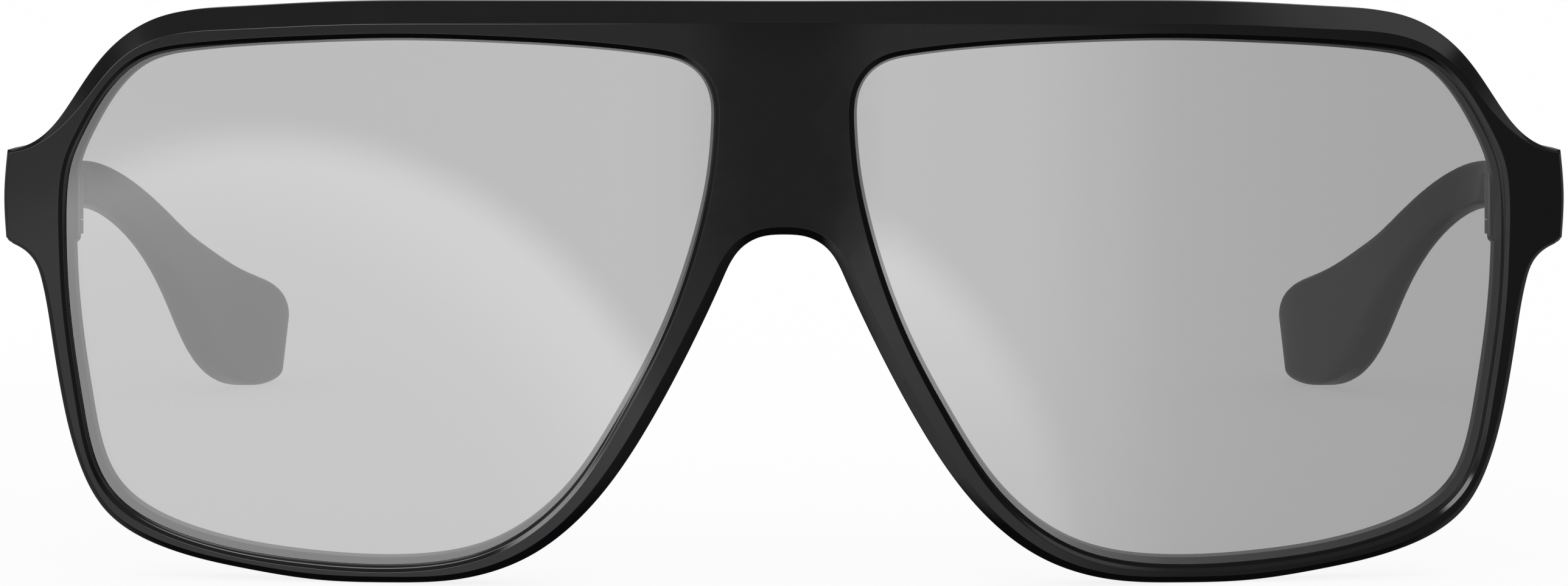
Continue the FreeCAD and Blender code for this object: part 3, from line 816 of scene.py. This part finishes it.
def studio_world(strength):
    """A white studio: even white to the eye, and soft lamps and black flags in the reflections."""
    world = bpy.data.worlds.new("Studio")
    world.use_nodes = True
    tree = world.node_tree
    tree.nodes.clear()
    direction = add(tree, "ShaderNodeTexCoord").outputs["Generated"]
    parts = add(tree, "ShaderNodeSeparateXYZ", {0: direction}).outputs
    below = add(tree, "ShaderNodeMapRange", {"Value": parts["Z"], "From Min": -0.7, "From Max": -0.85})
    # Each lamp covers the ones before it.
    lamps = [
        (soft_disk(tree, direction, *LEFT_LAMP), 1.2),
        (soft_disk(tree, direction, *LEFT_LAMP_CORE), 0.92),
        right_lamp(tree, direction, parts),
        (ceiling(tree, parts), 0.3),
        (soft_disk(tree, direction, *TOP_PANEL), 1.0),
        (below.outputs["Result"], 0.01),
        (soft_disk(tree, direction, *RIDGE_LAMP), 5.5),
        (soft_disk(tree, direction, *CORNER_LAMP), 5.5),
        (soft_disk(tree, direction, *BACK_PANEL), 0.6),
        (soft_disk(tree, direction, *RIGHT_SIDE_PANEL), 0.5),
        (soft_disk(tree, direction, *LEFT_SIDE_PANEL), 0.5),
    ]
    glow = wall_light(tree, parts)
    for shape, light in lamps:
        level = light if isinstance(light, bpy.types.NodeSocket) else (light, light, light, 1)
        mixed = add(tree, "ShaderNodeMix", {"Factor": shape, 6: glow, 7: level}, data_type="RGBA")
        glow = mixed.outputs[2]
    rays = add(tree, "ShaderNodeLightPath")
    reflected = add(tree, "ShaderNodeBackground", {"Color": glow, "Strength": 1.0})
    even = add(tree, "ShaderNodeBackground", {"Color": (1, 1, 1, 1), "Strength": strength})
    plain = add(tree, "ShaderNodeBackground", {"Color": (1, 1, 1, 1), "Strength": 1.0})
    lit = add(tree, "ShaderNodeMixShader", {
        0: rays.outputs["Is Glossy Ray"], 1: even.outputs[0], 2: reflected.outputs[0],
    })
    seen = add(tree, "ShaderNodeMixShader", {
        0: rays.outputs["Is Camera Ray"], 1: lit.outputs[0], 2: plain.outputs[0],
    })
    add(tree, "ShaderNodeOutputWorld", {"Surface": seen.outputs[0]})
    return world


def floor_piece(code):
    """A wide sheet of seamless paper, lit so evenly that it runs into the background."""
    mesh = bmesh.new()
    bmesh.ops.create_grid(mesh, x_segments=1, y_segments=1, size=FLOOR_REACH)
    data = bpy.data.meshes.new("floor")
    mesh.to_mesh(data)
    mesh.free()
    floor = bpy.data.objects.new("floor", data)
    bpy.context.scene.collection.objects.link(floor)
    floor.visible_glossy = False
    material, tree, output = new_material("Seamless paper")
    paper = add(tree, "ShaderNodeBsdfDiffuse", {"Color": four(code)})
    glow = add(tree, "ShaderNodeEmission", {"Color": (1, 1, 1, 1), "Strength": FLOOR_LIGHT})
    mixed = add(tree, "ShaderNodeMixShader", {0: FLOOR_GLOW, 1: paper.outputs[0], 2: glow.outputs[0]})
    tree.links.new(mixed.outputs[0], output.inputs["Surface"])
    data.materials.append(material)
    return floor


class GLASSES_OT_stage(bpy.types.Operator):
    """Sets up the floor, the studio light and the camera"""

    bl_idname = "glasses.stage"
    bl_label = "Build stage"

    def execute(self, context):
        scene = context.scene
        look = scene.glasses_stage
        scene.world = studio_world(look.strength)
        scene.view_settings.view_transform = "Standard"
        floor_piece(look.floor)
        lens = bpy.data.cameras.new("camera")
        lens.lens = CAMERA_LENS
        lens.sensor_width = SENSOR_WIDTH
        lens.clip_end = VIEW_DEPTH
        camera = bpy.data.objects.new("camera", lens)
        scene.collection.objects.link(camera)
        camera.location = placed((0, -CAMERA_DISTANCE, 0))
        aim = placed((0, 0, 0)) - camera.location
        camera.rotation_euler = aim.to_track_quat("-Z", "Y").to_euler()
        scene.camera = camera
        return {"FINISHED"}


OPERATORS = (
    GLASSES_OT_front, GLASSES_OT_lenses, GLASSES_OT_temples, GLASSES_OT_metalwork,
    GLASSES_OT_electronics, GLASSES_OT_stage,
)
GROUPS = {
    "glasses_front": FrontSizes,
    "glasses_nylon": NylonColours,
    "glasses_lens": LensLook,
    "glasses_metal": MetalColours,
    "glasses_stage": StageLook,
}


class GLASSES_PT_sidebar(bpy.types.Panel):
    """Lists the sizes, the colours and the building steps"""

    bl_idname = "GLASSES_PT_sidebar"
    bl_label = "Smart Glasses"
    bl_space_type = "VIEW_3D"
    bl_region_type = "UI"
    bl_category = "Smart Glasses"

    def draw(self, context):
        for name, group in GROUPS.items():
            column = self.layout.column(heading=group.__doc__)
            for field in group.__annotations__:
                column.prop(getattr(context.scene, name), field)
        for operator in OPERATORS:
            self.layout.operator(operator.bl_idname)


def register():
    for part in (*GROUPS.values(), *OPERATORS, GLASSES_PT_sidebar):
        bpy.utils.register_class(part)
    for name, group in GROUPS.items():
        setattr(bpy.types.Scene, name, PointerProperty(type=group))


def unregister():
    for name in GROUPS:
        delattr(bpy.types.Scene, name)
    for part in (GLASSES_PT_sidebar, *reversed(OPERATORS), *GROUPS.values()):
        bpy.utils.unregister_class(part)


def main():
    register()
    bpy.ops.glasses.front()
    bpy.ops.glasses.lenses()
    bpy.ops.glasses.temples()
    bpy.ops.glasses.metalwork()
    bpy.ops.glasses.electronics()
    bpy.ops.glasses.stage()


if __name__ == "__main__":
    main()
